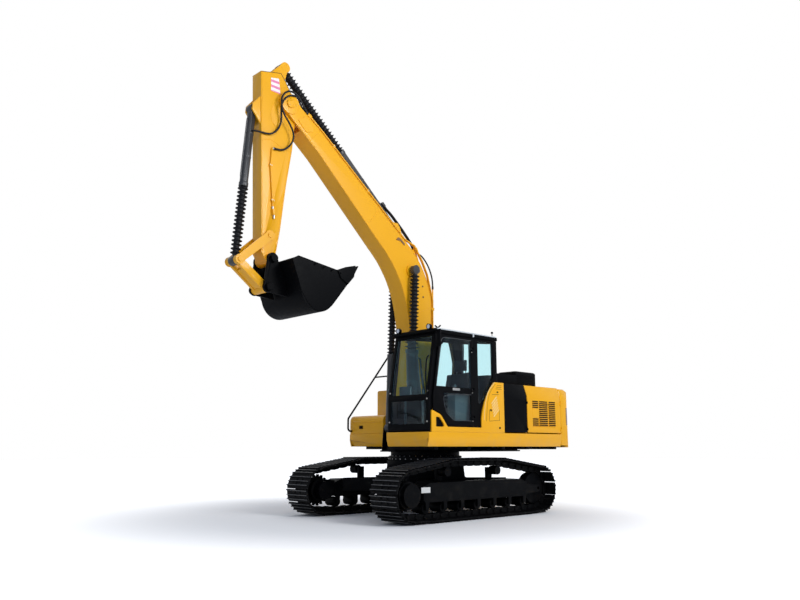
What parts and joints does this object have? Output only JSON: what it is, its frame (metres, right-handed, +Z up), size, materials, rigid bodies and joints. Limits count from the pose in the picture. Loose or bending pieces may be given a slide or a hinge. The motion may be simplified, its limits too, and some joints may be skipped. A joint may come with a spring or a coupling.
{
  "type": "crawler excavator",
  "caption": "Tracked digging machine with a swinging upper structure, closed cab, bent boom, arm and curled bucket on steel shoe tracks.",
  "frame": {"origin": "on the ground under the middle of the machine's box, at the lowest points of its track shoes", "axes": "+X forward, +Y to the cab's side, +Z up"},
  "size_m": [6.8846, 2.85, 7.4483],
  "materials": {
    "yellow_paint": "semi-gloss yellow paint",
    "black_paint": "satin black paint",
    "track_steel": "black painted steel shoes",
    "bearing_steel": "dark grey steel",
    "rod_chrome": "ground hard chrome",
    "bellows_rubber": "matt black pleated rubber",
    "hose_rubber": "smooth black hose rubber",
    "window_glass": "clear tinted glass",
    "seat_fabric": "dark grey woven fabric",
    "cab_plastic": "grained dark grey plastic",
    "lamp": "clear lamp lens in a black housing"
  },
  "bodies": {
    "undercarriage": {"centre_frame": "black_paint", "track_frames": "black_paint", "track_left": "track_steel", "track_right": "track_steel", "sprockets": "black_paint", "final_drives": "black_paint", "idlers": "black_paint", "rollers": "black_paint", "swing_ring": "bearing_steel"},
    "upper": {"main_frame": "black_paint", "side_decks": "yellow_paint", "counterweight": "yellow_paint", "house_frame": "yellow_paint", "intake_box": "black_paint", "exhaust_pipe": "bearing_steel", "engine_block": "bearing_steel", "fuel_tank": "yellow_paint", "hydraulic_tank": "yellow_paint", "tool_box": "yellow_paint", "cab_shell": "black_paint", "cab_roof": "black_paint", "cab_glass": "window_glass", "side_panels": "yellow_paint", "seat_base": "cab_plastic", "operator_seat": "seat_fabric", "cab_controls": "cab_plastic", "work_lamps": "lamp", "handrails": "black_paint", "mirrors": "black_paint", "lifting_eyes": "yellow_paint"},
    "cab_door": {"cab_door": "black_paint", "door_glass": "window_glass"},
    "house_door_front": {"house_door_front": "black_paint"},
    "house_door_rear": {"house_door_rear": "yellow_paint"},
    "pump_door": {"pump_door": "yellow_paint"},
    "engine_hood": {"engine_hood": "yellow_paint"},
    "tool_box_lid": {"tool_box_lid": "yellow_paint"},
    "boom": {"boom": "yellow_paint", "boom_pipes": "yellow_paint", "drain_hose": "hose_rubber", "boom_foot_hoses": "hose_rubber"},
    "boom_barrels": {"boom_barrel": "black_paint"},
    "boom_rods": {"boom_rod": "rod_chrome", "boom_bellows": "bellows_rubber"},
    "arm": {"arm": "yellow_paint", "arm_pipe": "yellow_paint", "arm_hoses": "hose_rubber"},
    "arm_barrel": {"arm_barrel": "black_paint", "arm_cylinder_hoses": "hose_rubber"},
    "arm_rod": {"arm_rod": "rod_chrome", "arm_bellows": "bellows_rubber"},
    "bucket_barrel": {"bucket_barrel": "black_paint"},
    "bucket_rod": {"bucket_rod": "rod_chrome", "bucket_bellows": "bellows_rubber"},
    "rocker_links": {"rocker_links": "yellow_paint"},
    "bucket_link": {"bucket_link": "yellow_paint"},
    "bucket": {"bucket": "black_paint"}
  },
  "joints": [
    {"name": "swing", "type": "hinge", "parent": "undercarriage", "child": "upper", "pos_m": [-0.74, 0, 1], "axis": [0, 0, 1], "continuous": true},
    {"name": "boom_lift", "type": "hinge", "parent": "upper", "child": "boom", "pos_m": [-0.59, 0, 1.94], "axis": [0, -1, 0], "range_deg": [-102, 7], "deforming": ["boom_foot_hoses"]},
    {"name": "boom_barrel_tilt", "type": "hinge", "parent": "upper", "child": "boom_barrels", "pos_m": [-0.12, 0, 1.5], "axis": [0, -1, 0], "range_deg": [-105.23, 7.27]},
    {"name": "boom_rod_slide", "type": "slide", "parent": "boom_barrels", "child": "boom_rods", "axis": [-0.0353, 0, 0.9994], "range_m": [-0.9931, 0.0686], "deforming": ["boom_bellows"]},
    {"name": "arm_swing", "type": "hinge", "parent": "boom", "child": "arm", "pos_m": [2.55299, 0, 6.70116], "axis": [0, 1, 0], "range_deg": [-98, 3], "deforming": ["arm_hoses"]},
    {"name": "arm_barrel_tilt", "type": "hinge", "parent": "boom", "child": "arm_barrel", "pos_m": [0.07514, 0, 5.10762], "axis": [0, 1, 0], "range_deg": [-0.08, 1.06], "deforming": ["arm_cylinder_hoses"]},
    {"name": "arm_rod_slide", "type": "slide", "parent": "arm_barrel", "child": "arm_rod", "axis": [0.7475, 0, 0.6643], "range_m": [-0.9981, 0.031], "deforming": ["arm_bellows"]},
    {"name": "bucket_curl", "type": "hinge", "parent": "arm", "child": "bucket", "pos_m": [2.8051, 0, 4.03907], "axis": [0, 1, 0], "range_deg": [-125, 3]},
    {"name": "rocker_turn", "type": "hinge", "parent": "arm", "child": "rocker_links", "pos_m": [2.83473, 0, 4.41554], "axis": [0, 1, 0], "range_deg": [-90.2, 2.21]},
    {"name": "link_turn", "type": "hinge", "parent": "rocker_links", "child": "bucket_link", "pos_m": [3.3596, 0, 3.94636], "axis": [0, 1, 0], "range_deg": [-1.29, 51.85]},
    {"name": "bucket_barrel_tilt", "type": "hinge", "parent": "arm", "child": "bucket_barrel", "pos_m": [3.15718, 0, 6.47311], "axis": [0, 1, 0], "range_deg": [-0.8926, 0.0702]},
    {"name": "bucket_rod_slide", "type": "slide", "parent": "bucket_barrel", "child": "bucket_rod", "axis": [0.0799, 0, -0.9968], "range_m": [-0.997, 0.0244], "deforming": ["bucket_bellows"]},
    {"name": "cab_door_hinge", "type": "hinge", "parent": "upper", "child": "cab_door", "pos_m": [-0.547, 1.371, 2.2], "axis": [0, 0, 1], "range_deg": [0, 172]},
    {"name": "house_door_front_hinge", "type": "hinge", "parent": "upper", "child": "house_door_front", "pos_m": [-2.014, 1.369, 1.8], "axis": [0, 0, 1], "range_deg": [0, 100]},
    {"name": "house_door_rear_hinge", "type": "hinge", "parent": "upper", "child": "house_door_rear", "pos_m": [-3.064, 1.369, 1.8], "axis": [0, 0, 1], "range_deg": [0, 100]},
    {"name": "pump_door_hinge", "type": "hinge", "parent": "upper", "child": "pump_door", "pos_m": [-3.064, -1.369, 1.8], "axis": [0, 0, -1], "range_deg": [0, 100]},
    {"name": "engine_hood_hinge", "type": "hinge", "parent": "upper", "child": "engine_hood", "pos_m": [-2.046, 0, 2.285], "axis": [0, 1, 0], "range_deg": [0, 75]},
    {"name": "tool_box_lid_hinge", "type": "hinge", "parent": "upper", "child": "tool_box_lid", "pos_m": [-0.784, -0.85, 1.74], "axis": [0, -1, 0], "range_deg": [0, 85]}
  ],
  "couplings": [
    {"joint": "boom_barrel_tilt", "follows": "boom_lift", "ratio": 1.0312},
    {"joint": "boom_rod_slide", "follows": "boom_lift", "m_per_rad": 0.55757},
    {"joint": "arm_barrel_tilt", "follows": "arm_swing", "ratio": -0.010314},
    {"joint": "arm_rod_slide", "follows": "arm_swing", "m_per_rad": 0.58328},
    {"joint": "rocker_turn", "follows": "bucket_curl", "ratio": 0.72118},
    {"joint": "link_turn", "follows": "bucket_curl", "ratio": -0.41444},
    {"joint": "bucket_barrel_tilt", "follows": "bucket_curl", "ratio": 0.006741},
    {"joint": "bucket_rod_slide", "follows": "bucket_curl", "m_per_rad": 0.45675}
  ]
}
